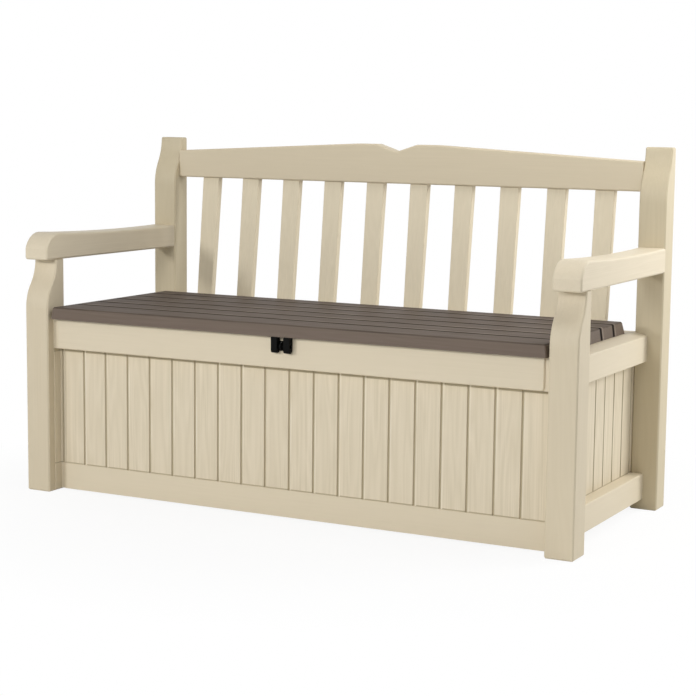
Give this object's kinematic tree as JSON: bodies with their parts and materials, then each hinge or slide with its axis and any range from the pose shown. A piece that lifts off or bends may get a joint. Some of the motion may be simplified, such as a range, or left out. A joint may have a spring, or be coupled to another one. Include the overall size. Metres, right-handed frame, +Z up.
{
  "type": "outdoor storage bench",
  "caption": "Garden bench of moulded resin planks with armrests, a slatted back and a hinged seat lid over a storage box, with a hasp for a padlock",
  "frame": {"origin": "on the ground, under the middle of the bench's bounding box", "axes": "X to the right along the bench as seen by someone facing its front, Y from the front to the back, Z up"},
  "size_m": [1.4, 0.6, 0.84],
  "materials": {
    "cream_resin": "moulded wood grain, satin",
    "brown_resin": "moulded wood grain, satin",
    "black_plastic": "moulded, satin",
    "pin_steel": "plain"
  },
  "bodies": {
    "frame": {"front_leg_left": "cream_resin", "front_leg_right": "cream_resin", "rear_post_left": "cream_resin", "rear_post_right": "cream_resin", "armrest_left": "cream_resin", "armrest_right": "cream_resin", "side_panel_left": "cream_resin", "side_panel_right": "cream_resin", "front_panel": "cream_resin", "back_panel": "cream_resin", "floor_panel": "cream_resin", "backrest_slat_01": "cream_resin", "backrest_slat_02": "cream_resin", "backrest_slat_03": "cream_resin", "backrest_slat_04": "cream_resin", "backrest_slat_05": "cream_resin", "backrest_slat_06": "cream_resin", "backrest_slat_07": "cream_resin", "backrest_slat_08": "cream_resin", "backrest_slat_09": "cream_resin", "backrest_slat_10": "cream_resin", "crest_rail": "cream_resin", "padlock_eye": "black_plastic", "hinge_pin_left": "pin_steel", "hinge_pin_right": "pin_steel"},
    "lid": {"seat_lid": "brown_resin", "lid_hasp": "black_plastic"}
  },
  "joints": [
    {"name": "lid_hinge", "type": "hinge", "parent": "frame", "child": "lid", "pos_m": [0, 0.199, 0.421], "axis": [-1, 0, 0], "range_deg": [0, 95]}
  ]
}
